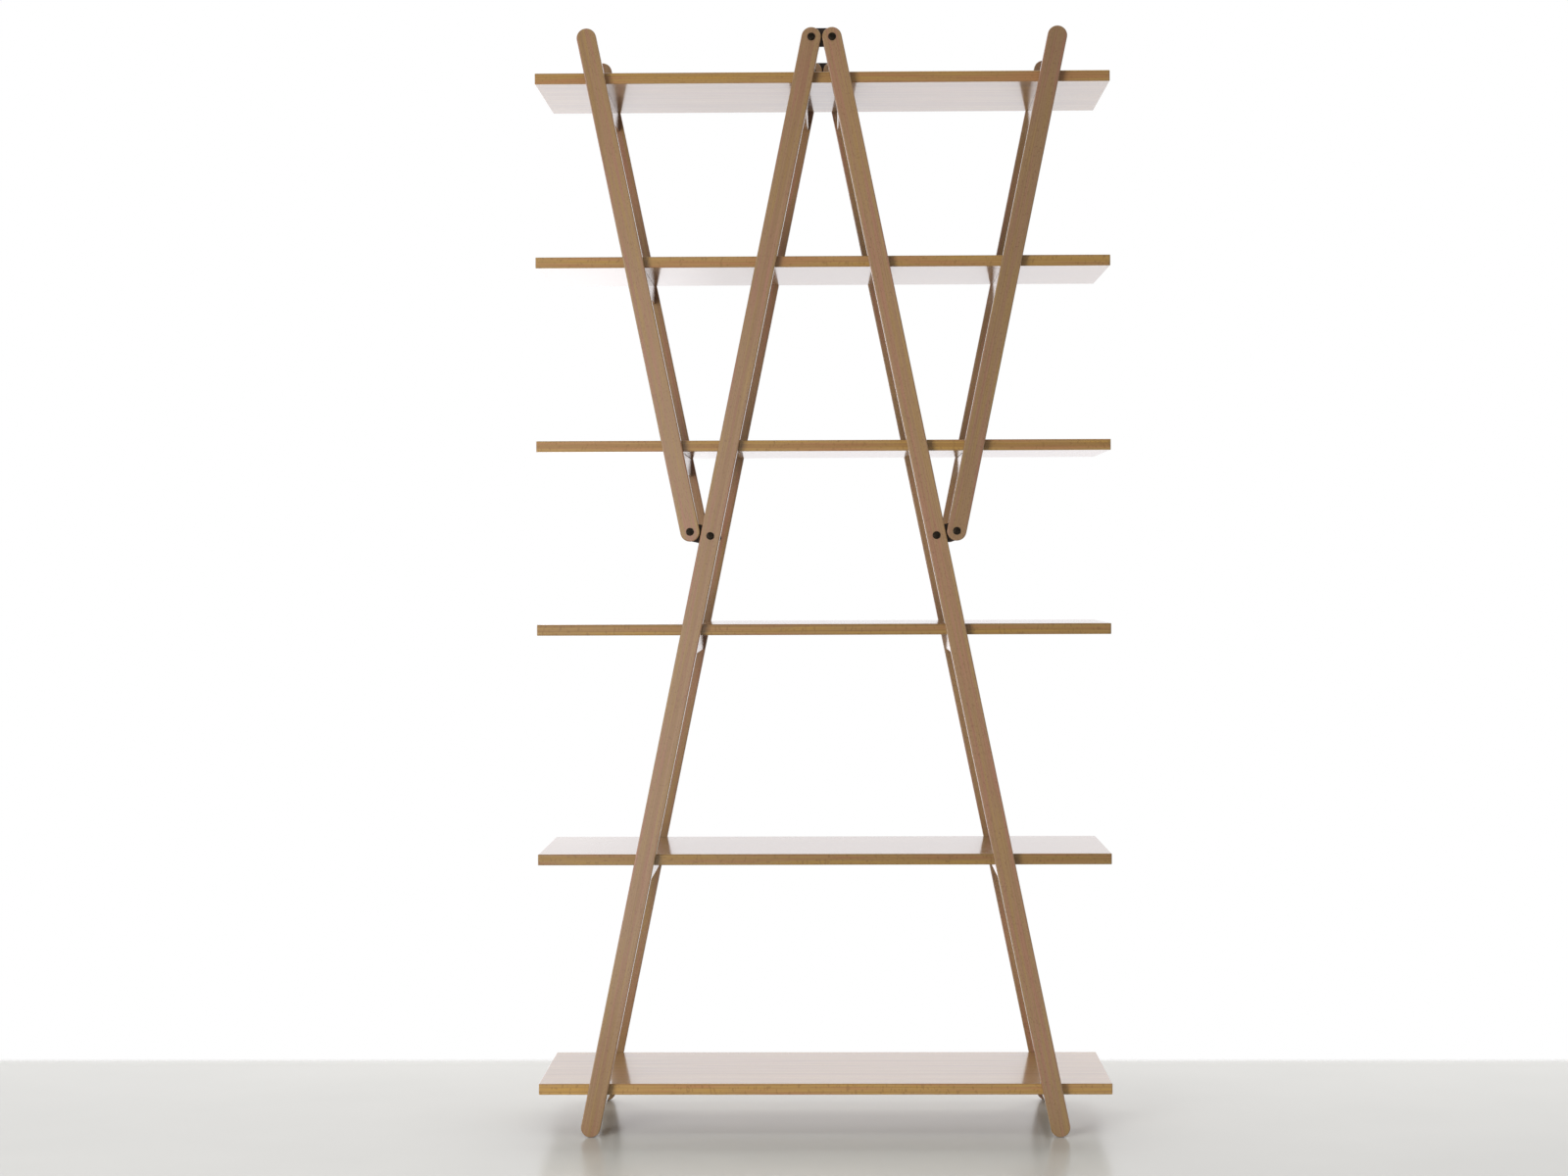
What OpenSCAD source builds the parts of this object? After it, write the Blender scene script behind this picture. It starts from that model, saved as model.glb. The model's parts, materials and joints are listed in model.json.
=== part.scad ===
// Folding bookstand rack. Four ladder frames of slender posts and rungs are hinged side by
// side, so that they open into a zigzag and fold flat together, and carry six loose shelves.
// X runs across the rack, Y from the front to the rear and Z up. The origin lies on the
// floor, under the middle of the rack. The rack stands open.

/* [Overall] */
// Width of the shelves, which is also the width of the rack
shelf_w = 1000; // [860:5:1200]
// Depth of the rack over its front and rear posts
rack_d = 395; // [240:5:500]
// Length of an inner post between the centres of its round ends
inner_len = 1931.5; // [1600:0.5:2330]
// Lean of the posts from upright when the rack stands open
lean = 11.65; // [9.5:0.05:14]

/* [Shelves] */
// Thickness of a shelf
shelf_t = 19; // [15:0.5:25]
// Gap between a shelf and the posts in front of it and behind it
shelf_gap = 0.5; // [0.3:0.1:2]
// Gap between a shelf and the rungs on which it lies
seat_gap = 0.2; // [0.1:0.1:0.5]
// Drop from the top pivots to the top of the top shelf
top_drop = 57.5; // [56:0.5:90]
// Distance from each of the upper shelves to the next
upper_pitch = 320; // [260:1:385]
// Height of the bottom shelf's top face above the floor
bottom_rise = 90; // [70:1:150]
// Radius of the eased edges of a shelf
shelf_ease = 1.5; // [0.5:0.5:3]
// Radius of a shelf's corners in plan
shelf_corner = 3; // [1:0.5:10]

/* [Posts and rungs] */
// Width of a post, seen from the front
post_w = 34; // [28:0.5:41]
// Thickness of a post, from front to rear
post_t = 20; // [16.5:0.5:26]
// Radius of the eased edges of a post
post_ease = 2; // [0.5:0.5:3]
// Gap between two posts that a link joins
post_gap = 2; // [1.5:0.5:8]
// Distance from the top of the third shelf down to the outer posts' pivots
wing_below = 159; // [125:1:200]
// Width of a rung, seen from the front
rung_w = 21; // [18:0.5:24]
// Height of a rung
rung_h = 34; // [28:0.5:38]
// Radius of the eased edges of a rung
rung_ease = 2; // [1:0.5:5]

/* [Dowels] */
// Diameter of a dowel
dowel_d = 6; // [5:0.5:8]
// Length of dowel inside the rung
dowel_in_rung = 18; // [12:1:30]
// Length of dowel inside the post
dowel_in_post = 12; // [8:1:14]
// Distance from a dowel's centre to the top or the bottom of the rung
dowel_edge = 8.5; // [6:0.5:12]
// Clearance round a dowel and at its ends
dowel_clear = 0.1; // [0.05:0.05:0.3]

/* [Links] */
// Thickness of a link plate
link_t = 5; // [4:0.5:6]
// How far a link's edges stay inside the round ends of the posts
link_inset = 1; // [0.25:0.25:2]
// Length of a side link behind its pivot in the inner post
link_tail = 9; // [7:0.5:11]
// Clearance between a link and its slot
slot_gap = 0.3; // [0.1:0.1:0.6]
// Clearance between a link's square corner and the slot floor that stops it
stop_gap = 0.2; // [0.1:0.1:0.4]

/* [Pivots] */
// Diameter of a pivot sleeve
pin_d = 8; // [6:0.5:10]
// Clearance between a pivot sleeve and its bore, on the radius
pin_clear = 0.05; // [0.02:0.01:0.1]
// Diameter of a sleeve's head, which shows on the outer face
head_d = 13.5; // [11:0.5:18]
// Height of the head's rim
head_rim = 1.2; // [0.8:0.1:2]
// Height of the crown above the rim
head_crown = 0.8; // [0.4:0.1:1.2]
// Width of the hexagon socket in a head, across its flats
socket_w = 4; // [2.5:0.5:5]
// Depth of the hexagon socket
socket_deep = 1.3; // [0.8:0.1:1.8]
// Diameter of the screw's shank
screw_d = 5; // [4:0.5:6]
// Length of the screw's shank
screw_len = 11; // [8:0.5:12]
// Diameter of the screw's flat head, sunk in the inner face
screw_head_d = 11; // [9:0.5:14]
// Thickness of the screw's head
screw_head_t = 2.4; // [2:0.1:3]
// Clearance round a sunk screw head and a shank
screw_clear = 0.2; // [0.1:0.1:0.4]

/* [Hidden] */
$fn = 64;
cut = 1;                                   // how far a cutting shape runs past its surface

post_r = post_w / 2;
link_pitch = post_w + post_gap;
link_h = post_w - 2 * link_inset;
shelf_d = rack_d - 2 * post_t - 2 * shelf_gap;
rung_len = rack_d - 2 * post_t;
post_y = -(rack_d - post_t) / 2;           // mid-thickness of the front posts

// Pivots of the left half, as [X, Z]
top_pivot = [-link_pitch / 2, post_r + inner_len * cos(lean)];
third_drop = top_drop + 2 * upper_pitch;
wing_len = (third_drop + wing_below) / cos(lean);
side_at = wing_len + link_pitch * tan(lean);
side_pivot = top_pivot - side_at * [sin(lean), cos(lean)];
wing_pivot = side_pivot + link_pitch * [-cos(lean), sin(lean)];

// Depth of a fork, from its pivot to the floor on which the link's square corner stops
function fork_depth(turn) = link_h / 2 * (cos(turn) + sin(turn)) + stop_gap;

// Shelves are numbered 0 at the top to 5 at the bottom
SHELVES = ["top", "second", "third", "fourth", "fifth", "bottom"];
UPPER_GAPS = 3;
LOWER_GAPS = 2;
lower_pitch = (top_pivot.y - top_drop - UPPER_GAPS * upper_pitch - bottom_rise) / LOWER_GAPS;
function shelf_top(i) = top_pivot.y - top_drop - min(i, UPPER_GAPS) * upper_pitch
    - max(i - UPPER_GAPS, 0) * lower_pitch;
function rung_z(i) = shelf_top(i) - shelf_t - seat_gap - rung_h / 2;

// The shelves that each frame carries on its rungs
INNER_RUNGS = [0, 3, 4, 5];
OUTER_RUNGS = [0, 1, 2];
function inner_x(z) = top_pivot.x - (top_pivot.y - z) * tan(lean);
function outer_x(z) = wing_pivot.x - (z - wing_pivot.y) * tan(lean);
function rungs_of(frame) = frame == "inner" ? INNER_RUNGS : OUTER_RUNGS;
function rung_x(frame, i) = frame == "inner" ? inner_x(rung_z(i)) : outer_x(rung_z(i));
function pivots_of(frame) = frame == "inner" ? [top_pivot, side_pivot] : [wing_pivot];

SIDES = ["left", "right"];
FRAMES = ["inner", "outer"];
ROWS = ["front", "rear"];

BEECH = [0.71, 0.55, 0.40];
BEECH_BOARD = [0.76, 0.60, 0.42];
BLACK_STEEL = [0.09, 0.09, 0.10];

// The left half is drawn, and the right half is its mirror image
module on_side(s) mirror([s == "right" ? 1 : 0, 0, 0]) children();

// The front row is drawn, and the rear row is its mirror image
module in_row(r) mirror([0, r == "rear" ? 1 : 0, 0]) children();

// Turns a shape drawn about Z so that Z points along the rack's Y, at a place in the front
module facing(at) translate([at.x, 0, at.y]) rotate([90, 0, 0]) children();

module eased_rect(w, h, r) {
    square([w - 2 * r, h], center = true);
    square([w, h - 2 * r], center = true);
    for (x = [-1, 1], y = [-1, 1])
        translate([x * (w / 2 - r), y * (h / 2 - r)]) circle(r);
}

// Bar with full round ends, from the centre of one end at the origin up to the other
module post_blank(len) {
    linear_extrude(len) eased_rect(post_w, post_t, post_ease);
    for (z = [0, len])
        translate([0, 0, z]) rotate([90, 0, 0]) rotate_extrude()
            intersection() {
                eased_rect(post_w, post_t, post_ease);
                translate([0, -post_t]) square([post_w, 2 * post_t]);
            }
}

// Slot for a link plate in mid-thickness, from z = low to z = high
module link_slot(x_low, x_high, z_low, z_high)
    translate([x_low, -link_t / 2 - slot_gap, z_low])
        cube([x_high - x_low, link_t + 2 * slot_gap, z_high - z_low]);

module fork_slot(turn)
    link_slot(-post_w, post_w, -post_w, fork_depth(turn));

// Through bore for a sleeve, with a counterbore in the inner face for the screw's head
module pivot_bore(at) {
    facing(at) cylinder(d = pin_d + 2 * pin_clear, h = post_t + 2 * cut, center = true);
    translate([0, post_t / 2 - screw_head_t - screw_clear, 0]) facing(at) mirror([0, 0, 1])
        cylinder(d = screw_head_d + 2 * screw_clear, h = post_t);
}

module dowel_places(frame, i)
    for (side = [-1, 1])
        translate([rung_x(frame, i), 0, rung_z(i) + side * (rung_h / 2 - dowel_edge)])
            rotate([90, 0, 0]) children();

// Dowel holes in a front post, from its inner face
module dowel_holes(frame)
    for (i = rungs_of(frame)) dowel_places(frame, i)
        translate([0, 0, rung_len / 2 - cut])
            cylinder(d = dowel_d + 2 * dowel_clear, h = dowel_in_post + dowel_clear + cut);

module post(frame) color(BEECH) difference() {
    translate([0, post_y, 0])
        if (frame == "inner") inner_post_cut(); else outer_post_cut();
    dowel_holes(frame);
}

module inner_post_cut() difference() {
    translate([top_pivot.x, 0, top_pivot.y]) rotate([0, lean, 0]) difference() {
        rotate([180, 0, 0]) post_blank(inner_len);
        rotate([180, 0, 0]) fork_slot(lean);
        translate([0, 0, -side_at])
            link_slot(-post_w, link_tail + slot_gap,
                -link_h / 2 - slot_gap, link_h / 2 + slot_gap);
    }
    for (at = pivots_of("inner")) pivot_bore(at);
}

module outer_post_cut() difference() {
    translate([wing_pivot.x, 0, wing_pivot.y]) rotate([0, -lean, 0]) difference() {
        post_blank(wing_len);
        fork_slot(2 * lean);
    }
    for (at = pivots_of("outer")) pivot_bore(at);
}

module rung(frame, i) color(BEECH) difference() {
    translate([rung_x(frame, i), 0, rung_z(i)]) rotate([90, 0, 0])
        linear_extrude(rung_len, center = true) eased_rect(rung_w, rung_h, rung_ease);
    for (r = ROWS) in_row(r) dowel_places(frame, i)
        translate([0, 0, rung_len / 2 - dowel_in_rung - dowel_clear])
            cylinder(d = dowel_d + 2 * dowel_clear, h = rung_len);
}

// Two dowels, one above the other, at each end of every rung of a frame
module dowels(frame) color(BEECH_BOARD)
    for (i = rungs_of(frame), r = ROWS) in_row(r) dowel_places(frame, i)
        translate([0, 0, rung_len / 2 - dowel_in_rung])
            cylinder(d = dowel_d, h = dowel_in_rung + dowel_in_post);

// Half of a link plate: a full round about the pivot with one corner left square
module link_end() {
    circle(d = link_h);
    translate([-link_h / 2, -link_h / 2]) square(link_h / 2);
    translate([0, -link_h / 2]) square([link_pitch / 2 + cut, link_h]);
}

module link_holes()
    for (x = [-1, 1]) translate([x * link_pitch / 2, 0]) circle(d = pin_d + 2 * pin_clear);

// Plate that joins the tops of the two inner posts, its lower corners square
module top_link() color(BLACK_STEEL)
    translate([0, post_y, 0]) facing([0, top_pivot.y])
        linear_extrude(link_t, center = true) difference() {
            for (s = SIDES) on_side(s) translate([-link_pitch / 2, 0]) link_end();
            link_holes();
        }

// Plate that is fast in the inner post and carries the outer post on its outer end,
// the upper corner there square
module side_link() color(BLACK_STEEL)
    translate([0, post_y, 0]) facing((side_pivot + wing_pivot) / 2) rotate(-lean)
        linear_extrude(link_t, center = true) difference() {
            union() {
                translate([-link_pitch / 2, 0]) mirror([0, 1]) link_end();
                translate([-cut, -link_h / 2])
                    square([link_pitch / 2 + link_tail + cut, link_h]);
            }
            link_holes();
        }

// Headed sleeve through a post and its link, its head on the outer face
module pivot_sleeve(at) {
    barrel = post_t - screw_head_t - 2 * screw_clear;
    crown_r = (pow(head_d / 2, 2) + pow(head_crown, 2)) / (2 * head_crown);
    translate([0, -rack_d / 2, 0]) facing(at) difference() {
        union() {
            translate([0, 0, -barrel]) cylinder(d = pin_d, h = barrel + head_rim / 2);
            intersection() {
                cylinder(d = head_d, h = head_rim + head_crown);
                translate([0, 0, head_rim + head_crown - crown_r]) sphere(crown_r, $fn = 128);
            }
        }
        translate([0, 0, head_rim + head_crown - socket_deep])
            cylinder(d = socket_w / cos(30), h = head_rim + head_crown, $fn = 6);
        translate([0, 0, -barrel - cut])
            cylinder(d = screw_d + screw_clear, h = screw_len + 2 * screw_clear + cut);
    }
}

// Flat-headed screw that closes a sleeve from the inner face
module pivot_screw(at)
    translate([0, -rack_d / 2 + post_t, 0]) facing(at) difference() {
        union() {
            cylinder(d = screw_head_d, h = screw_head_t);
            cylinder(d = screw_d, h = screw_head_t + screw_len);
        }
        translate([0, 0, -cut])
            cylinder(d = socket_w / cos(30), h = socket_deep + cut, $fn = 6);
    }

module pivot_sleeves(frame) color(BLACK_STEEL)
    for (r = ROWS) in_row(r) for (at = pivots_of(frame)) pivot_sleeve(at);

module pivot_screws(frame) color(BLACK_STEEL)
    for (r = ROWS) in_row(r) for (at = pivots_of(frame)) pivot_screw(at);

// Loose board, all its edges eased
module shelf(i) color(BEECH_BOARD)
    translate([0, 0, shelf_top(i) - shelf_t / 2]) intersection() {
        linear_extrude(shelf_t, center = true) eased_rect(shelf_w, shelf_d, shelf_corner);
        rotate([90, 0, 0]) linear_extrude(shelf_d, center = true)
            eased_rect(shelf_w, shelf_t, shelf_ease);
        rotate([90, 0, 90]) linear_extrude(shelf_w, center = true)
            eased_rect(shelf_d, shelf_t, shelf_ease);
    }

for (i = [0 : len(SHELVES) - 1])
    shelf(i);

for (r = ROWS) {
    in_row(r) top_link();
    for (s = SIDES)
        on_side(s) in_row(r) side_link();
}

for (s = SIDES, f = FRAMES) {
    for (r = ROWS)
        on_side(s) in_row(r) post(f);
    for (i = rungs_of(f))
        on_side(s) rung(f, i);
    on_side(s) dowels(f);
    on_side(s) pivot_sleeves(f);
    on_side(s) pivot_screws(f);
}
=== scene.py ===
import json
import math
import random

import bpy
from mathutils import Euler, Matrix, Vector


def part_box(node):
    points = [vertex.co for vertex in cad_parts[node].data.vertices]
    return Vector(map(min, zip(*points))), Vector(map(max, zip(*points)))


# Folding bookstand rack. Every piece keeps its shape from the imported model, so this script
# holds the finishes, the studio and the camera. Lengths are in metres, patterns in millimetres.
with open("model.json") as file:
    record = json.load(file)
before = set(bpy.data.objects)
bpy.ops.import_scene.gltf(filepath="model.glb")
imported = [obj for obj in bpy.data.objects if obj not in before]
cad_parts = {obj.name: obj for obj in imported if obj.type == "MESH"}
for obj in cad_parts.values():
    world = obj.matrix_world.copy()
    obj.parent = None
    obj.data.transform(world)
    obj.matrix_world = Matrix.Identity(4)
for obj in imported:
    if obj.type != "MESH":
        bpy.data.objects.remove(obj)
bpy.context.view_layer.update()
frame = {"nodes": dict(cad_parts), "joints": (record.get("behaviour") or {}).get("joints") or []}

MM = 1000.0                       # millimetres in a metre

# ---- Which way the grain runs ----------------------------------------------------------

# The posts lean by as much as the inner frames turn to fold
LEAN = math.radians(next(j for j in frame["joints"] if j["name"] == "fold")["range_deg"][1])

# Turns that bring the grain of a piece upright, onto Z
ALONG_X = (0, -math.pi / 2, 0)
ALONG_Y = (math.pi / 2, 0, 0)
LEANS_RIGHT = (0, -LEAN, 0)
LEANS_LEFT = (0, LEAN, 0)

# ---- Colours and nodes -----------------------------------------------------------------


def linear(code):
    """An sRGB hex value as linear RGBA."""
    values = [int(code[i : i + 2], 16) / 255 for i in (1, 3, 5)]
    return [v / 12.92 if v <= 0.04045 else ((v + 0.055) / 1.055) ** 2.4 for v in values] + [1]


FACTOR, COLOUR_A, COLOUR_B, COLOUR_OUT = 0, 6, 7, 2     # sockets of a Mix node set to colour


def add(tree, kind, inputs, **settings):
    """Adds one node with its settings. An input is set to a value, or linked to a socket."""
    node = tree.nodes.new(kind)
    for key, value in settings.items():
        setattr(node, key, value)
    for key, value in inputs.items():
        if isinstance(value, bpy.types.NodeSocket):
            tree.links.new(value, node.inputs[key])
        else:
            node.inputs[key].default_value = value
    return node


def new_material(name):
    """A material and its node tree, which is empty."""
    material = bpy.data.materials.new(name)
    material.use_nodes = True
    material.node_tree.nodes.clear()
    return material, material.node_tree


# ---- Wood ------------------------------------------------------------------------------

# Steamed beech: pinkish brown posts and rungs, yellower shelves, paler bare dowels. late is
# the dark line that ends a growth ring, ray the colour of the ray flecks, and rings how
# strong the growth rings are. satin is how much the wood itself shines, lacquer how much of
# it is under clear lacquer and gloss how rough that is. The shelves are rubbed down finer.
POST_BEECH = dict(
    body="#A17E57", late="#8C6742", pink="#A7775C", gold="#A58350", ray="#835E40",
    rings=0.35, satin=0.48, lacquer=1.0, gloss=0.16)
BOARD_BEECH = dict(
    body="#AC8850", late="#8C6436", pink="#AC7C50", gold="#B38C47", ray="#876235",
    rings=0.5, satin=0.62, lacquer=1.0, gloss=0.1)
DOWEL_BEECH = dict(
    body="#C9A77C", late="#B08B5F", pink="#C99C79", gold="#CDAC73", ray="#A98356",
    rings=0.35, satin=0.48, lacquer=0.0, gloss=0.16)
LACQUER_IOR = 1.7                 # raised from a lacquer's 1.5 to match its strong sheen

# How light each board, and the posts and rungs of each frame, are drawn, fitted to how bright
# each looks under these lamps. This is partly the wood's own tone and partly painted light: the
# bottom shelf is made lighter to stand in for the sheen on it, a painted sheen.
PIECE_TONE_AND_SHEEN = {
    "top_shelf": 1.06, "second_shelf": 0.97, "third_shelf": 1.02, "fourth_shelf": 0.86,
    "fifth_shelf": 0.77, "bottom_shelf": 1.24, "left_outer": 0.94, "left_inner": 0.92,
    "right_inner": 0.99, "right_outer": 0.86,
}

# Sizes of beech's figure, in millimetres. Rings of 2 to 3 mm and flecks of 0.3 by 2 mm are
# too fine to show from across a room, so both are drawn about twice as coarse.
RING = 5.0
FLECK_WIDE, FLECK_LONG, FLECK_DEEP = 0.8, 4.0, 9.0
FIBRE_WIDE, FIBRE_LONG = 1.0, 80.0
STREAK_WIDE, STREAK_LONG = 6.0, 180.0
BEND_WIDE, BEND_LONG, BEND_BY = 90.0, 520.0, 7.0
RIB_DEEP, FILM_DEEP = 0.02, 0.004 # relief of the wood, and of the lacquer over it
STAVE = 59.0                      # width of the staves that a shelf is glued up from
PITH_NEAR, PITH_FAR = 60.0, 150.0 # how far the heart of the tree lies from a piece
TRUNK, STAVE_TRUNK = 4000, 3000   # lengths of trunk that pieces, and staves, are cut from
SHELF_SEEDS = 20, 90              # a shelf draws its seed from this span

# How dark the wood is through a year, from 0 to 1: pale early on, and dark just before a
# sharp end. In good and bad years the rings crowd or spread.
YEAR_DARKNESS = ((0.0, 0.25), (0.15, 0.0), (0.6, 0.12), (0.9, 1.0), (1.0, 0.2))
GROWTH_CHANGE = 0.35              # good and bad spells to a year
GROWTH_SHIFT = 4.0                # years by which they shift a ring

# Noise lies round 0.5. A span says at which value a figure starts to show and where it is full.
FLECK_SPAN = 0.58, 0.7
PINK_SPAN = 0.5, 0.66
GOLD_SPAN = 0.48, 0.34
FIBRE_SPAN = 0.3, 0.7
STREAK_TINT, FLECK_TINT = 0.9, 0.5     # how far streaks and flecks take on their own colour
FLECK_SUNK = 0.6                  # how far flecks lie below the fibres, as part of the relief

# From the darkest to the lightest fibre, and from the darkest to the lightest stave
FIBRE_SHADE = 0.93, 1.06
FIBRE_ROUGHNESS = 0.4, 0.32
STAVE_SHADE = 0.96, 1.04
ONE_PIECE = 0.5                   # a piece that isn't glued up has the middle stave's tone

# How squarely a surface faces along the grain to be end grain, and up or down to be a face
END_GRAIN_SPAN, END_GRAIN_SHADE = (0.75, 1.0), 0.22
FACE_SPAN = 0.5, 0.9
FACE_TONE = 0.87                  # a board's faces are a shade darker than its edges
EDGE_LACQUER = 0.35               # and its edges keep less of the lacquer


def own_places(tree, grain, shelf_seed):
    """Cuts a shelf into staves, each from its own place in a tree and with its own tone."""
    parts = add(tree, "ShaderNodeSeparateXYZ", {"Vector": grain})
    number = add(tree, "ShaderNodeMath", {0: parts.outputs["Y"], 1: STAVE}, operation="DIVIDE")
    number = add(tree, "ShaderNodeMath", {0: number.outputs[0]}, operation="FLOOR")
    inside = add(tree, "ShaderNodeMath", {0: parts.outputs["Y"], 1: STAVE},
                 operation="FLOORED_MODULO")
    seed = add(tree, "ShaderNodeMath", {0: number.outputs[0], 1: shelf_seed}, operation="ADD")
    draw = add(tree, "ShaderNodeTexWhiteNoise", {"W": seed.outputs[0]}, noise_dimensions="1D")
    own = add(tree, "ShaderNodeCombineXYZ", {
        "X": parts.outputs["X"], "Y": inside.outputs[0], "Z": parts.outputs["Z"]})
    spread = add(tree, "ShaderNodeVectorMath", {
        0: draw.outputs["Color"], 1: (PITH_FAR - PITH_NEAR, STAVE, STAVE_TRUNK),
        2: own.outputs["Vector"]}, operation="MULTIPLY_ADD")
    placed = add(tree, "ShaderNodeVectorMath", {
        0: spread.outputs["Vector"], 1: (PITH_NEAR, -STAVE, 0)}, operation="ADD")
    return placed.outputs["Vector"], draw.outputs["Value"]


def along_grain(tree, grain, wide, long, detail):
    """Soft patches that run with the grain, of a width and a length in millimetres."""
    place = add(tree, "ShaderNodeMapping", {
        "Vector": grain, "Scale": (1 / wide, 1 / wide, 1 / long)})
    return add(tree, "ShaderNodeTexNoise", {
        "Vector": place.outputs["Vector"], "Scale": 1, "Detail": detail})


def from_heart(tree, grain):
    """How far a point lies from the heart of the tree."""
    across = add(tree, "ShaderNodeVectorMath", {0: grain, 1: (1, 1, 0)}, operation="MULTIPLY")
    return add(tree, "ShaderNodeVectorMath", {0: across.outputs["Vector"]},
               operation="LENGTH").outputs["Value"]


def growth_rings(tree, distance):
    """The distance from the heart, cut into years, each one darkening to a sharp end."""
    years = add(tree, "ShaderNodeMath", {0: distance, 1: RING}, operation="DIVIDE")
    growth = add(tree, "ShaderNodeTexNoise", {
        "W": years.outputs[0], "Scale": GROWTH_CHANGE, "Detail": 2}, noise_dimensions="1D")
    years = add(tree, "ShaderNodeMath", {
        0: growth.outputs["Fac"], 1: GROWTH_SHIFT, 2: years.outputs[0]},
        operation="MULTIPLY_ADD")
    season = add(tree, "ShaderNodeMath", {0: years.outputs[0]}, operation="FRACT")
    ring = add(tree, "ShaderNodeFloatCurve", {"Value": season.outputs[0]})
    line = ring.mapping.curves[0]
    start, *between, end = YEAR_DARKNESS
    line.points[0].location = start
    line.points[1].location = end
    for point in between:
        line.points.new(*point)
    ring.mapping.update()
    return ring.outputs["Value"]


def ray_flecks(tree, grain, distance):
    """Rays are thin sheets that run out from the heart, and show where a surface cuts them."""
    parts = add(tree, "ShaderNodeSeparateXYZ", {"Vector": grain})
    angle = add(tree, "ShaderNodeMath", {0: parts.outputs["Y"], 1: parts.outputs["X"]},
                operation="ARCTAN2")
    ray = add(tree, "ShaderNodeCombineXYZ", {
        "X": angle.outputs[0], "Y": distance, "Z": parts.outputs["Z"]})
    ray = add(tree, "ShaderNodeMapping", {
        "Vector": ray.outputs["Vector"],
        "Scale": ((PITH_NEAR + PITH_FAR) / 2 / FLECK_WIDE, 1 / FLECK_DEEP, 1 / FLECK_LONG)})
    ray = add(tree, "ShaderNodeTexNoise", {
        "Vector": ray.outputs["Vector"], "Scale": 1, "Detail": 1, "Roughness": 0.4})
    return add(tree, "ShaderNodeMapRange", {
        "Value": ray.outputs["Fac"], "From Min": FLECK_SPAN[0], "From Max": FLECK_SPAN[1]},
        interpolation_type="SMOOTHSTEP").outputs["Result"]


def figure_colour(tree, wood, streak, ring, fleck):
    """The wood's body, tinted by its streaks, then by the rings and the flecks."""
    pink = add(tree, "ShaderNodeMapRange", {
        "Value": streak, "From Min": PINK_SPAN[0], "From Max": PINK_SPAN[1],
        "To Max": STREAK_TINT})
    gold = add(tree, "ShaderNodeMapRange", {
        "Value": streak, "From Min": GOLD_SPAN[0], "From Max": GOLD_SPAN[1],
        "To Max": STREAK_TINT})
    late = add(tree, "ShaderNodeMath", {0: ring, 1: wood["rings"]}, operation="MULTIPLY")
    flecks = add(tree, "ShaderNodeMath", {0: fleck, 1: FLECK_TINT}, operation="MULTIPLY")
    colour = linear(wood["body"])
    for tint, amount in (("pink", pink.outputs["Result"]), ("gold", gold.outputs["Result"]),
                         ("late", late.outputs[0]), ("ray", flecks.outputs[0])):
        colour = add(tree, "ShaderNodeMix", {
            FACTOR: amount, COLOUR_A: colour, COLOUR_B: linear(wood[tint])},
            data_type="RGBA").outputs[COLOUR_OUT]
    return colour


def figure_shade(tree, normal, turn, fibre, stave_tone, tone_and_sheen):
    """The fibres' light and shade, and the darker end grain, which drinks the lacquer."""
    with_grain = Euler(turn).to_matrix().transposed() @ Vector((0, 0, 1))
    facing = add(tree, "ShaderNodeVectorMath", {0: normal, 1: with_grain},
                 operation="DOT_PRODUCT")
    facing = add(tree, "ShaderNodeMath", {0: facing.outputs["Value"]}, operation="ABSOLUTE")
    end_grain = add(tree, "ShaderNodeMapRange", {
        "Value": facing.outputs[0], "From Min": END_GRAIN_SPAN[0],
        "From Max": END_GRAIN_SPAN[1], "To Max": END_GRAIN_SHADE})
    shade = add(tree, "ShaderNodeMapRange", {
        "Value": fibre, "From Min": FIBRE_SPAN[0], "From Max": FIBRE_SPAN[1],
        "To Min": FIBRE_SHADE[0], "To Max": FIBRE_SHADE[1]})
    shade = add(tree, "ShaderNodeMath", {
        0: shade.outputs["Result"], 1: end_grain.outputs["Result"]}, operation="SUBTRACT")
    # times the piece's tone, which is partly the wood's own and partly painted light
    own_tone = add(tree, "ShaderNodeMapRange", {
        "Value": stave_tone, "To Min": STAVE_SHADE[0] * tone_and_sheen, "To Max": STAVE_SHADE[1] * tone_and_sheen})
    return add(tree, "ShaderNodeMath", {
        0: shade.outputs[0], 1: own_tone.outputs["Result"]}, operation="MULTIPLY").outputs[0]


def board_face(tree, normal):
    """One on a board's top and underside, and nought on its edges."""
    up = add(tree, "ShaderNodeSeparateXYZ", {"Vector": normal})
    up = add(tree, "ShaderNodeMath", {0: up.outputs["Z"]}, operation="ABSOLUTE")
    return add(tree, "ShaderNodeMapRange", {
        "Value": up.outputs[0], "From Min": FACE_SPAN[0],
        "From Max": FACE_SPAN[1]}).outputs["Result"]


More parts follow.
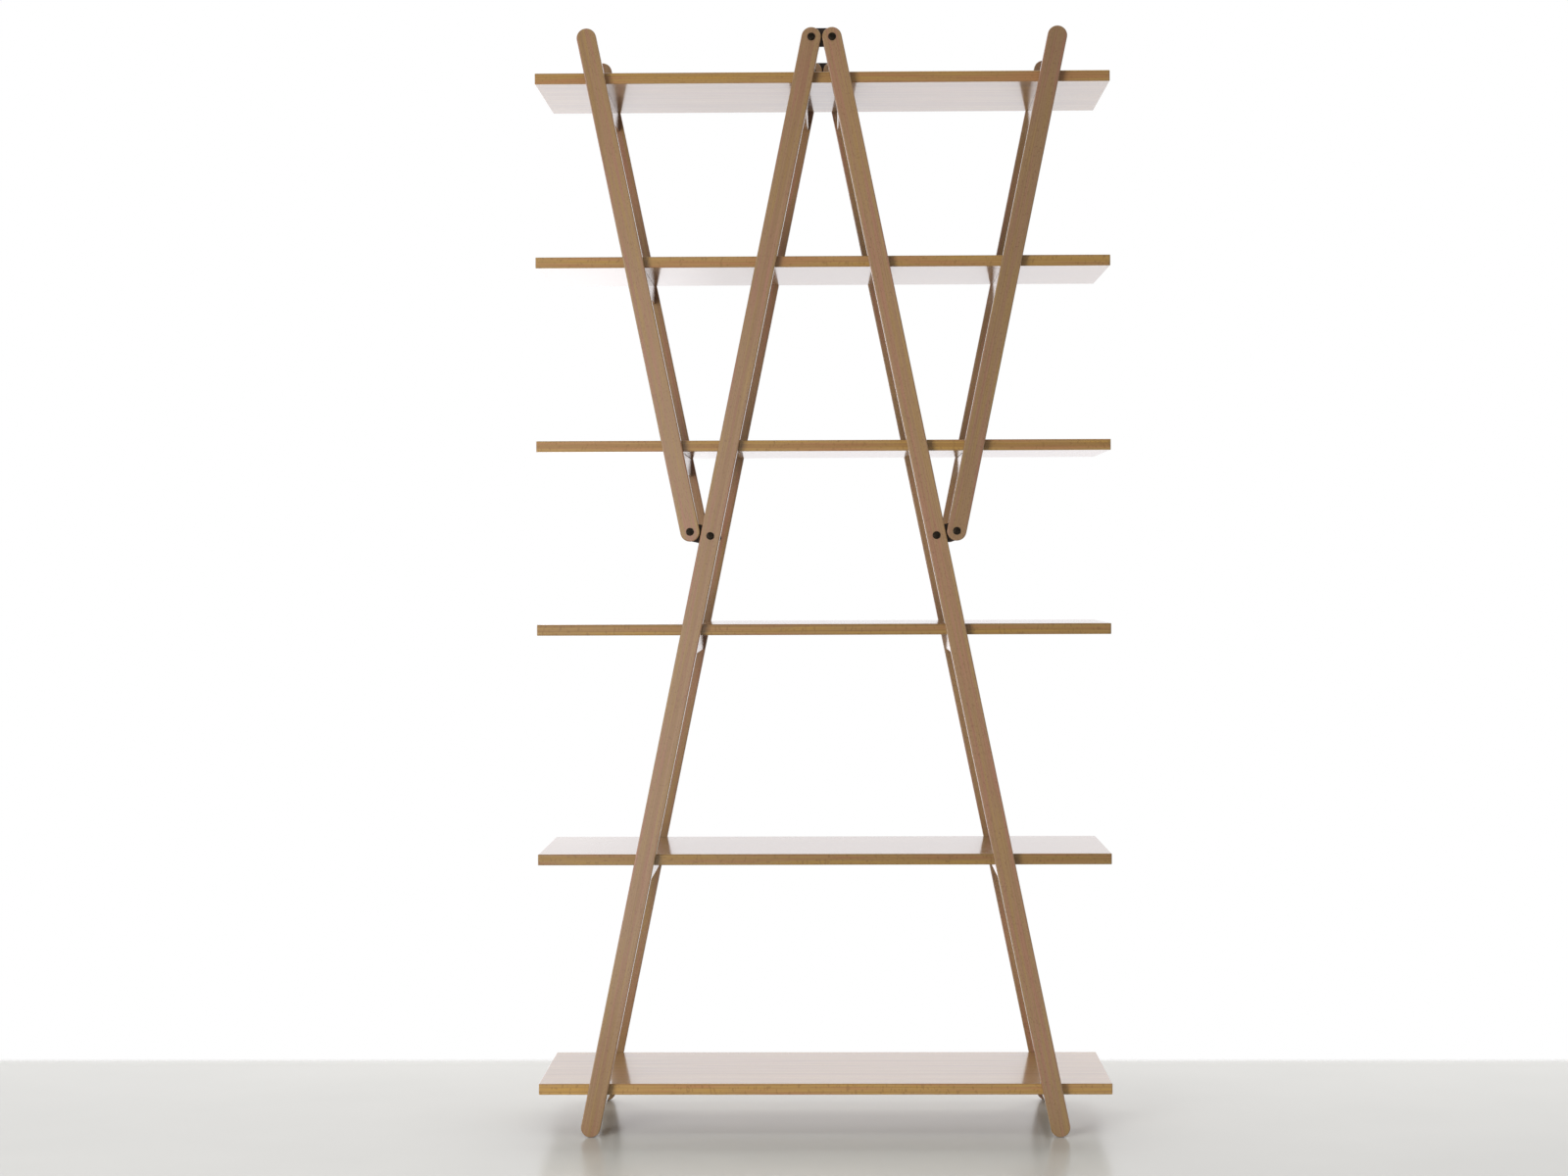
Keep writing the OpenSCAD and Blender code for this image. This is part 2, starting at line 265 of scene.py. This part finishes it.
def beech(name, node, turn, wood, staves=False):
    """Planed beech, bare or under clear lacquer: a warm brown with fine darker lines, short
    flecks and a soft sheen, its figure carried right through the piece.

    It is drawn in a space of millimetres round the heart of the tree, with Z along the
    grain. Growth rings are then long arches on a flat-sawn face and fine lines on a
    quarter-sawn one, and the rays are dashes on the first and broad flecks on the second.
    """
    material, tree = new_material(name)
    chance = random.Random(node)
    low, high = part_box(node)
    middle = Euler(turn).to_matrix() @ ((low + high) / 2 * MM)
    heart = Vector((0, 0, chance.uniform(0, TRUNK)))
    if not staves:
        angle, far = chance.uniform(0, math.tau), chance.uniform(PITH_NEAR, PITH_FAR)
        heart += Vector((far * math.cos(angle), far * math.sin(angle), 0))

    place = add(tree, "ShaderNodeTexCoord", {})
    normal = place.outputs["Normal"]
    grain = add(tree, "ShaderNodeMapping", {
        "Vector": place.outputs["Object"], "Scale": (MM, MM, MM), "Rotation": turn,
        "Location": heart - middle}).outputs["Vector"]
    stave_tone = ONE_PIECE
    if staves:
        grain, stave_tone = own_places(tree, grain, chance.uniform(*SHELF_SEEDS))

    # The trunk isn't straight: the grain wanders a few millimetres over half a metre
    bend = along_grain(tree, grain, BEND_WIDE, BEND_LONG, detail=1).outputs["Color"]
    grain = add(tree, "ShaderNodeVectorMath", {0: bend, 1: (BEND_BY, BEND_BY, 0), 2: grain},
                operation="MULTIPLY_ADD").outputs["Vector"]
    distance = from_heart(tree, grain)
    ring = growth_rings(tree, distance)
    fleck = ray_flecks(tree, grain, distance)
    fibre = along_grain(tree, grain, FIBRE_WIDE, FIBRE_LONG, detail=3).outputs["Fac"]
    streak = along_grain(tree, grain, STREAK_WIDE, STREAK_LONG, detail=2).outputs["Fac"]

    # The piece's tone: partly its wood's own, partly painted light, such as the bottom shelf's
    # painted sheen
    tone_and_sheen = next(tone for cut, tone in PIECE_TONE_AND_SHEEN.items() if node.startswith(cut))
    colour = figure_colour(tree, wood, streak, ring, fleck)
    shade = figure_shade(tree, normal, turn, fibre, stave_tone, tone_and_sheen)
    lacquer = wood["lacquer"]
    if staves:
        # The boards' faces take only the square root of the piece's tone, painted light included,
        # so they differ less in tone than their edges do
        face = board_face(tree, normal)
        dark = add(tree, "ShaderNodeMapRange", {
            "Value": face, "To Min": 1.0, "To Max": FACE_TONE / math.sqrt(tone_and_sheen)})
        shade = add(tree, "ShaderNodeMath", {0: shade, 1: dark.outputs["Result"]},
                    operation="MULTIPLY").outputs[0]
        lacquer = add(tree, "ShaderNodeMapRange", {
            "Value": face, "To Min": EDGE_LACQUER, "To Max": lacquer}).outputs["Result"]
    colour = add(tree, "ShaderNodeVectorMath", {0: colour, "Scale": shade},
                 operation="SCALE").outputs["Vector"]

    # The wood under the lacquer is a little ribbed, and the lacquer follows it faintly
    rough = add(tree, "ShaderNodeMapRange", {
        "Value": fibre, "From Min": FIBRE_SPAN[0], "From Max": FIBRE_SPAN[1],
        "To Min": FIBRE_ROUGHNESS[0], "To Max": FIBRE_ROUGHNESS[1]})
    height = add(tree, "ShaderNodeMath", {0: fleck, 1: -FLECK_SUNK, 2: fibre},
                 operation="MULTIPLY_ADD")
    ribs = add(tree, "ShaderNodeBump", {
        "Height": height.outputs[0], "Strength": 0.4, "Distance": RIB_DEEP / MM})
    film = add(tree, "ShaderNodeBump", {
        "Height": fibre, "Strength": 0.15, "Distance": FILM_DEEP / MM})
    shader = add(tree, "ShaderNodeBsdfPrincipled", {
        "Base Color": colour, "Roughness": rough.outputs["Result"],
        "Specular IOR Level": wood["satin"], "Normal": ribs.outputs["Normal"],
        "Coat Weight": lacquer, "Coat Roughness": wood["gloss"], "Coat IOR": LACQUER_IOR,
        "Coat Normal": film.outputs["Normal"]})
    add(tree, "ShaderNodeOutputMaterial", {"Surface": shader.outputs["BSDF"]})
    return material


# ---- Black steel -----------------------------------------------------------------------

# Sizes in millimetres. The coat's orange peel is drawn at twice its real size, and the
# turning marks at 0.7 mm where real ones are 0.1 mm, so that both can show.
PEEL, PEEL_DEEP = 0.9, 0.05
PEEL_ROUGHNESS = 0.5, 0.7         # from the hollows of the orange peel to its tops
CLOUD = 14                        # patches where the coat is a little thicker
TURNING, TURNING_DEEP = 0.7, 0.03
TURNED_ROUGHNESS = 0.3, 0.48      # from the bottom of a turning mark to its top
RUBBED = 3                        # patches that are rubbed brighter
RUBBED_SPAN = 0.52, 0.75


def powder_coated_steel():
    """Black powder coat over cut plate: even, half dull, with a fine orange peel."""
    material, tree = new_material("powder_coated_steel")
    place = add(tree, "ShaderNodeTexCoord", {})
    peel = add(tree, "ShaderNodeTexNoise", {
        "Vector": place.outputs["Object"], "Scale": MM / PEEL, "Detail": 1})
    cloud = add(tree, "ShaderNodeTexNoise", {
        "Vector": place.outputs["Object"], "Scale": MM / CLOUD, "Detail": 3})
    colour = add(tree, "ShaderNodeMix", {
        FACTOR: cloud.outputs["Fac"], COLOUR_A: linear("#1E1712"), COLOUR_B: linear("#30261F")},
        data_type="RGBA")
    rough = add(tree, "ShaderNodeMapRange", {
        "Value": peel.outputs["Fac"], "To Min": PEEL_ROUGHNESS[0], "To Max": PEEL_ROUGHNESS[1]})
    skin = add(tree, "ShaderNodeBump", {
        "Height": peel.outputs["Fac"], "Strength": 0.5, "Distance": PEEL_DEEP / MM})
    shader = add(tree, "ShaderNodeBsdfPrincipled", {
        "Base Color": colour.outputs[COLOUR_OUT], "Roughness": rough.outputs["Result"],
        "Normal": skin.outputs["Normal"]})
    add(tree, "ShaderNodeOutputMaterial", {"Surface": shader.outputs["BSDF"]})
    return material


def black_oxide_steel(name, pivots):
    """Turned steel, blackened and oiled: a dark brownish metal, rubbed brighter in patches,
    with rings round the axis of the nearest pivot."""
    material, tree = new_material(name)
    place = add(tree, "ShaderNodeTexCoord", {})
    radius = None
    for pivot in pivots:
        away = add(tree, "ShaderNodeVectorMath", {
            0: place.outputs["Object"], 1: pivot}, operation="SUBTRACT")
        away = add(tree, "ShaderNodeVectorMath", {
            0: away.outputs["Vector"], 1: (MM, 0, MM)}, operation="MULTIPLY")
        away = add(tree, "ShaderNodeVectorMath", {0: away.outputs["Vector"]},
                   operation="LENGTH").outputs["Value"]
        radius = away if radius is None else add(
            tree, "ShaderNodeMath", {0: radius, 1: away}, operation="MINIMUM").outputs[0]
    turned = add(tree, "ShaderNodeTexNoise", {"W": radius, "Scale": 1 / TURNING, "Detail": 2},
                 noise_dimensions="1D").outputs["Fac"]
    rubbed = add(tree, "ShaderNodeTexNoise", {
        "Vector": place.outputs["Object"], "Scale": MM / RUBBED, "Detail": 3})
    rubbed = add(tree, "ShaderNodeMapRange", {
        "Value": rubbed.outputs["Fac"], "From Min": RUBBED_SPAN[0], "From Max": RUBBED_SPAN[1]})
    colour = add(tree, "ShaderNodeMix", {
        FACTOR: rubbed.outputs["Result"], COLOUR_A: linear("#3F372E"),
        COLOUR_B: linear("#5C5447")}, data_type="RGBA")
    rough = add(tree, "ShaderNodeMapRange", {
        "Value": turned, "To Min": TURNED_ROUGHNESS[0], "To Max": TURNED_ROUGHNESS[1]})
    marks = add(tree, "ShaderNodeBump", {
        "Height": turned, "Strength": 0.4, "Distance": TURNING_DEEP / MM})
    shader = add(tree, "ShaderNodeBsdfPrincipled", {
        "Base Color": colour.outputs[COLOUR_OUT], "Metallic": 1,
        "Roughness": rough.outputs["Result"], "Normal": marks.outputs["Normal"]})
    add(tree, "ShaderNodeOutputMaterial", {"Surface": shader.outputs["BSDF"]})
    return material


# ---- Each piece gets its finish --------------------------------------------------------


def give_finish(node, material):
    """Puts a material in all slots of a node."""
    for held in frame["nodes"][node].material_slots:
        held.material = material


def post_turn(node):
    """The inner posts lean towards each other as they rise, and the outer ones away."""
    rises_right = ("left" in node) == ("inner" in node)
    return LEANS_RIGHT if rises_right else LEANS_LEFT


def frame_pivots(side):
    """The two pivots of a side's inner frame, at its side and its top, and its outer frame's."""
    # The outer frame's sleeves share one axis, so their box is one head wide
    low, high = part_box(f"{side}_outer_pivot_sleeves")
    outer, half_head = (low + high) / 2, (high.x - low.x) / 2
    low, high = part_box(f"{side}_inner_pivot_sleeves")
    at_side, at_top = low.x + half_head, high.x - half_head
    if side == "right":
        at_side, at_top = at_top, at_side
    inner = [Vector((at_side, 0, low.z + half_head)), Vector((at_top, 0, high.z - half_head))]
    return {"inner": inner, "outer": [outer]}


coated = powder_coated_steel()
for node in frame["nodes"]:
    kind = node.rsplit("_", 1)[1]
    if kind == "shelf":
        give_finish(node, beech(f"lacquered_beech_{node}", node, ALONG_X, BOARD_BEECH, staves=True))
    elif kind == "rung":
        give_finish(node, beech(f"lacquered_beech_{node}", node, ALONG_Y, POST_BEECH))
    elif kind == "post":
        give_finish(node, beech(f"lacquered_beech_{node}", node, post_turn(node), POST_BEECH))
    elif kind == "dowels":
        give_finish(node, beech(f"bare_beech_{node}", node, ALONG_Y, DOWEL_BEECH))
    elif kind == "link":
        give_finish(node, coated)

for side in ("left", "right"):
    for pair, pivots in frame_pivots(side).items():
        blackened = black_oxide_steel(f"black_oxide_steel_{side}_{pair}", pivots)
        for piece in ("pivot_sleeves", "pivot_screws"):
            give_finish(f"{side}_{pair}_{piece}", blackened)

# ---- Floor -----------------------------------------------------------------------------

FLOOR_BACK = 0.645                # where the pale floor gives way to the white sweep behind it
FLOOR_FADE = 0.06                 # the depth over which it does
FLOOR_TURN = -0.0046              # the floor's back edge isn't quite square to the rack
FLOOR_FRONT, FLOOR_SIDE = -2.6, 2.9
FLOOR_VIGNETTE = 1.0              # how gently it fades at the front and at the sides
FLOOR_PATCHES = 3                 # faint patches in its paint, to a metre
FLOOR_ROUGHNESS = 0.22


def painted_floor():
    """Half gloss floor paint: a pale grey that mirrors the feet faintly and fades to clear
    where the floor ends."""
    material, tree = new_material("painted_floor")
    place = add(tree, "ShaderNodeTexCoord", {})
    patch = add(tree, "ShaderNodeTexNoise", {
        "Vector": place.outputs["Object"], "Scale": FLOOR_PATCHES, "Detail": 2})
    colour = add(tree, "ShaderNodeMix", {
        FACTOR: patch.outputs["Fac"], COLOUR_A: linear("#D2D3CD"), COLOUR_B: linear("#DADBD5")},
        data_type="RGBA")
    paint = add(tree, "ShaderNodeBsdfPrincipled", {
        "Base Color": colour.outputs[COLOUR_OUT], "Roughness": FLOOR_ROUGHNESS})
    parts = add(tree, "ShaderNodeSeparateXYZ", {"Vector": place.outputs["Object"]})
    aside = add(tree, "ShaderNodeMath", {0: parts.outputs["X"]}, operation="ABSOLUTE")
    left = None
    for way, start, end in (
            (parts.outputs["Y"], FLOOR_BACK - FLOOR_FADE / 2, FLOOR_BACK + FLOOR_FADE / 2),
            (parts.outputs["Y"], FLOOR_FRONT + FLOOR_VIGNETTE, FLOOR_FRONT),
            (aside.outputs[0], FLOOR_SIDE - FLOOR_VIGNETTE, FLOOR_SIDE)):
        kept = add(tree, "ShaderNodeMapRange", {
            "Value": way, "From Min": start, "From Max": end, "To Min": 1.0, "To Max": 0.0},
            interpolation_type="SMOOTHSTEP").outputs["Result"]
        left = kept if left is None else add(
            tree, "ShaderNodeMath", {0: left, 1: kept}, operation="MULTIPLY").outputs[0]
    gone = add(tree, "ShaderNodeBsdfTransparent", {})
    mixed = add(tree, "ShaderNodeMixShader", {
        0: left, 1: gone.outputs["BSDF"], 2: paint.outputs["BSDF"]})
    add(tree, "ShaderNodeOutputMaterial", {"Surface": mixed.outputs["Shader"]})
    return material


def studio_floor():
    """The one flat sheet that the rack stands on."""
    corners = [(x, y, 0) for x, y in (
        (-FLOOR_SIDE, FLOOR_FRONT), (FLOOR_SIDE, FLOOR_FRONT),
        (FLOOR_SIDE, FLOOR_BACK + FLOOR_FADE), (-FLOOR_SIDE, FLOOR_BACK + FLOOR_FADE))]
    mesh = bpy.data.meshes.new("studio_floor")
    mesh.from_pydata(corners, [], [(0, 1, 2, 3)])
    mesh.materials.append(painted_floor())
    floor = bpy.data.objects.new("studio_floor", mesh)
    bpy.context.scene.collection.objects.link(floor)
    floor.rotation_euler.z = FLOOR_TURN


# ---- Light -----------------------------------------------------------------------------

FILL = 0.24                       # how much light the room gives from every side
SWEEP_IN_GLOSS = "#FFFCFE"        # the white sweep has a trace of pink, which gloss shows

# What gloss shows, by direction from the rack. A direction is written as the part of it that
# points right, back or up, so near the camera's own direction 0.1 is six degrees.
SWEEP_SPAN = 0.1, -0.5            # from back to front, the white sweep gives way to the room
BOX_SHINE = 1.5                   # brightness of the long soft box down the studio's left side
BOX_RIGHT = -0.02                 # its right-hand end, just left of the camera
BOX_LEVEL, BOX_HALF_HEIGHT = -0.03, 0.135
BOX_SOFT = 0.07                   # half the width of its soft rim


def soft_box_in_gloss(tree, way):
    """The brightness that the soft box adds in a direction."""
    across = add(tree, "ShaderNodeMapRange", {
        "Value": way.outputs["X"], "From Min": BOX_RIGHT + BOX_SOFT,
        "From Max": BOX_RIGHT - BOX_SOFT}, interpolation_type="SMOOTHSTEP")
    level = add(tree, "ShaderNodeMath", {0: way.outputs["Z"], 1: BOX_LEVEL}, operation="SUBTRACT")
    level = add(tree, "ShaderNodeMath", {0: level.outputs[0]}, operation="ABSOLUTE")
    upright = add(tree, "ShaderNodeMapRange", {
        "Value": level.outputs[0], "From Min": BOX_HALF_HEIGHT + BOX_SOFT,
        "From Max": BOX_HALF_HEIGHT - BOX_SOFT, "To Max": BOX_SHINE},
        interpolation_type="SMOOTHSTEP")
    return add(tree, "ShaderNodeMath", {
        0: across.outputs["Result"], 1: upright.outputs["Result"]},
        operation="MULTIPLY").outputs[0]


def white_studio():
    """White behind for the eye and for gloss. Gloss also shows the soft box, and dull
    surfaces get an even, weaker fill."""
    world = bpy.data.worlds.new("white_studio")
    bpy.context.scene.world = world
    world.use_nodes = True
    tree = world.node_tree
    tree.nodes.clear()
    ray = add(tree, "ShaderNodeLightPath", {})
    way = add(tree, "ShaderNodeTexCoord", {})
    way = add(tree, "ShaderNodeSeparateXYZ", {"Vector": way.outputs["Generated"]})
    sweep = add(tree, "ShaderNodeMapRange", {
        "Value": way.outputs["Y"], "From Min": SWEEP_SPAN[0], "From Max": SWEEP_SPAN[1],
        "To Min": 1.0, "To Max": FILL}, interpolation_type="SMOOTHSTEP")
    shown = add(tree, "ShaderNodeMath", {
        0: sweep.outputs["Result"], 1: soft_box_in_gloss(tree, way)}, operation="MAXIMUM")
    shine = add(tree, "ShaderNodeMath", {
        0: ray.outputs["Is Glossy Ray"], 1: shown.outputs[0]}, operation="MULTIPLY")
    seen = add(tree, "ShaderNodeMath", {
        0: ray.outputs["Is Camera Ray"], 1: ray.outputs["Is Transmission Ray"]},
        operation="MAXIMUM")
    strength = add(tree, "ShaderNodeMath", {0: seen.outputs[0], 1: shine.outputs[0]},
                   operation="MAXIMUM")
    strength = add(tree, "ShaderNodeMath", {0: strength.outputs[0], 1: FILL},
                   operation="MAXIMUM")
    tint = add(tree, "ShaderNodeMix", {
        FACTOR: ray.outputs["Is Glossy Ray"], COLOUR_A: linear("#FFFFFF"),
        COLOUR_B: linear(SWEEP_IN_GLOSS)}, data_type="RGBA")
    back = add(tree, "ShaderNodeBackground", {
        "Color": tint.outputs[COLOUR_OUT], "Strength": strength.outputs[0]})
    add(tree, "ShaderNodeOutputWorld", {"Surface": back.outputs["Background"]})


# The key stands at the front left, level with the rack's middle, and the right lamp lifts the
# shade a little on the other side. The backdrop lamp stands in for light off the white sweep,
# and the overhead one lays the soft shadow on the floor.
LAMPS = {
    "key": dict(place=(-1.75, -3.3, 0.95), aim=(0, -0.2, 0.92), width=1.3, height=1.6, watts=82),
    "right": dict(place=(3.2, 0.3, 0.8), aim=(0.3, 0, 0.4), width=1.6, height=1.6, watts=10),
    "backdrop": dict(place=(0, 3.2, 1.2), aim=(0, 0, 0.6), width=6.0, height=2.3, watts=180),
    "overhead": dict(place=(0, -0.5, 4.2), aim=(0, -0.2, 0.5), width=3.6, height=3.2, watts=40),
}


def soft_lamp(name, place, aim, width, height, watts):
    """A soft box, out of the camera's sight and out of gloss."""
    lamp = bpy.data.lights.new(name, "AREA")
    lamp.shape = "RECTANGLE"
    lamp.size, lamp.size_y, lamp.energy = width, height, watts
    holder = bpy.data.objects.new(name, lamp)
    bpy.context.scene.collection.objects.link(holder)
    holder.location = place
    holder.rotation_euler = (Vector(aim) - Vector(place)).to_track_quat("-Z", "Y").to_euler()
    holder.visible_camera = False
    holder.visible_glossy = False


studio_floor()
white_studio()
for name, lamp in LAMPS.items():
    soft_lamp(name, **lamp)

# ---- Camera ----------------------------------------------------------------------------

CAMERA_PLACE = Vector((0.0253, -5.5994, 0.9941))
CAMERA_YAW, CAMERA_PITCH, CAMERA_ROLL = 0.01735, -0.00738, -0.00354
CAMERA_LENS, CAMERA_SENSOR = 71.54, 36      # focal length and width, in millimetres

camera = bpy.data.objects.new("camera", bpy.data.cameras.new("camera"))
bpy.context.scene.collection.objects.link(camera)
camera.data.sensor_width = CAMERA_SENSOR
camera.data.lens = CAMERA_LENS
camera.matrix_world = (
    Matrix.Translation(CAMERA_PLACE)
    @ Matrix.Rotation(CAMERA_YAW, 4, "Z")
    @ Matrix.Rotation(math.pi / 2 + CAMERA_PITCH, 4, "X")
    @ Matrix.Rotation(CAMERA_ROLL, 4, "Z")
)
bpy.context.scene.camera = camera
bpy.context.scene.view_settings.view_transform = "Standard"
